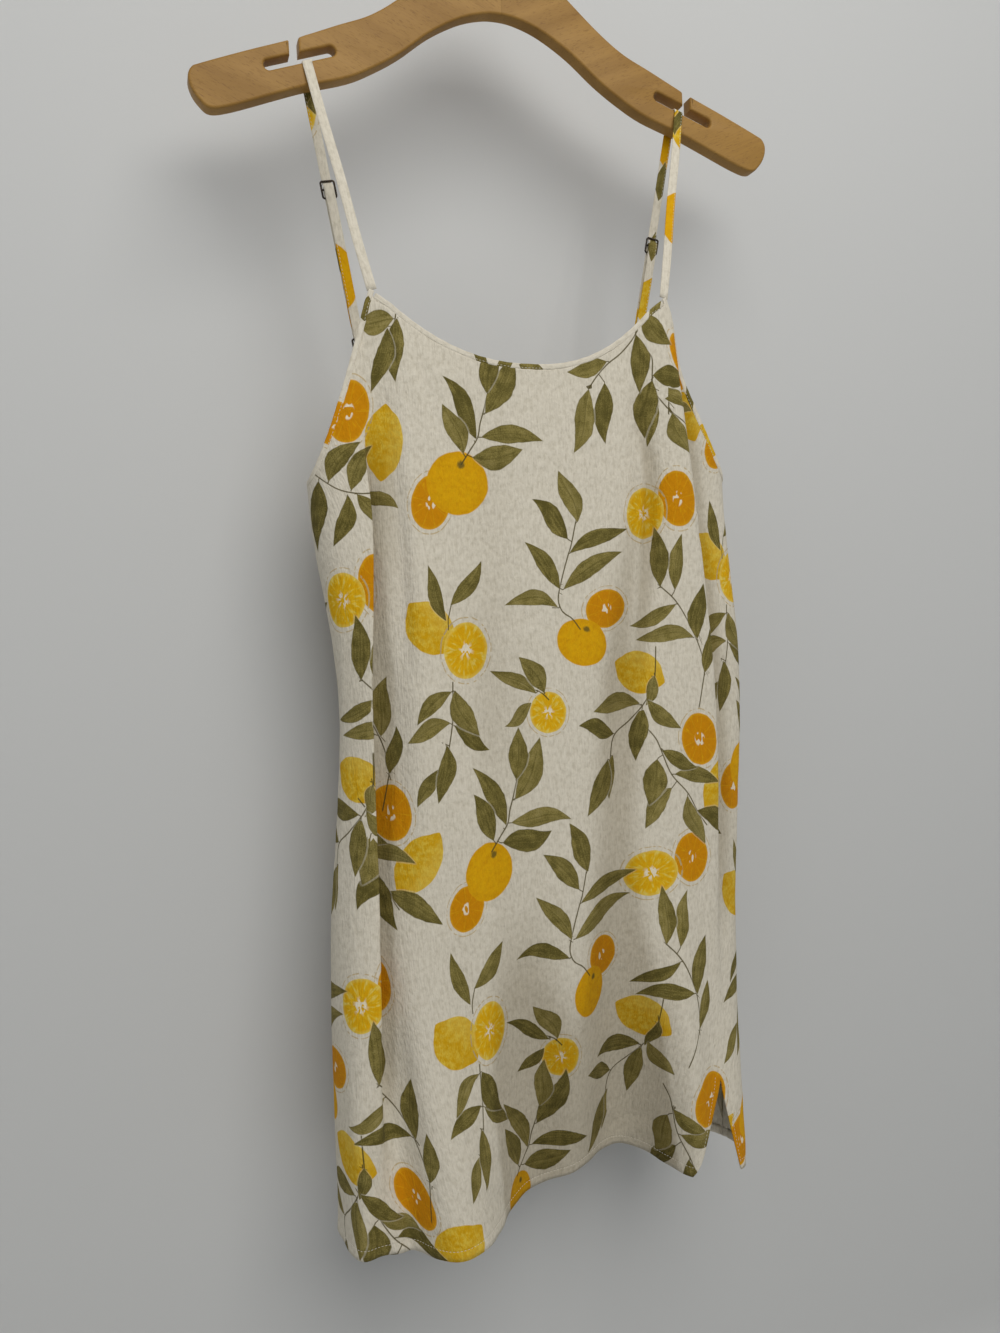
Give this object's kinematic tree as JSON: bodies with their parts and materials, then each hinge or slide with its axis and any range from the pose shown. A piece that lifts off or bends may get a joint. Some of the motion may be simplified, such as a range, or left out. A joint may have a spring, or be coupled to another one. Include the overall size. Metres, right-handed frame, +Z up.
{
  "type": "mini dress on a wooden hanger",
  "caption": "Strappy mini dress in printed cotton gauze with a slit at the hem, hanging by its adjustable straps in the notches of a wooden hanger.",
  "frame": {"origin": "the bearing point inside the top of the hanger's hook, where it hangs on a rail or a peg", "axes": "+Z up along the hanging garment, +X to the viewer's right along the hanger, +Y from the front of the dress to the wall behind it"},
  "size_m": [0.444, 0.1232, 1.0039],
  "materials": {
    "printed_cotton": "off-white crinkled cotton gauze printed with citrus fruit and olive-green leaves",
    "dark_metal": "dark bent wire with a dull sheen",
    "varnished_beech": "honey-brown varnished beech",
    "hook_steel": "plain bright steel rod"
  },
  "bodies": {
    "root": {"front": "printed_cotton", "back": "printed_cotton", "neck_binding": "printed_cotton", "back_neck_binding": "printed_cotton", "armhole_binding_left": "printed_cotton", "armhole_binding_right": "printed_cotton", "strap_left": "printed_cotton", "strap_right": "printed_cotton", "tab_left": "printed_cotton", "tab_right": "printed_cotton", "slider_left": "dark_metal", "slider_right": "dark_metal", "ring_left": "dark_metal", "ring_right": "dark_metal", "hanger_arm_left": "varnished_beech", "hanger_arm_right": "varnished_beech", "hanger_hook": "hook_steel"}
  },
  "joints": []
}
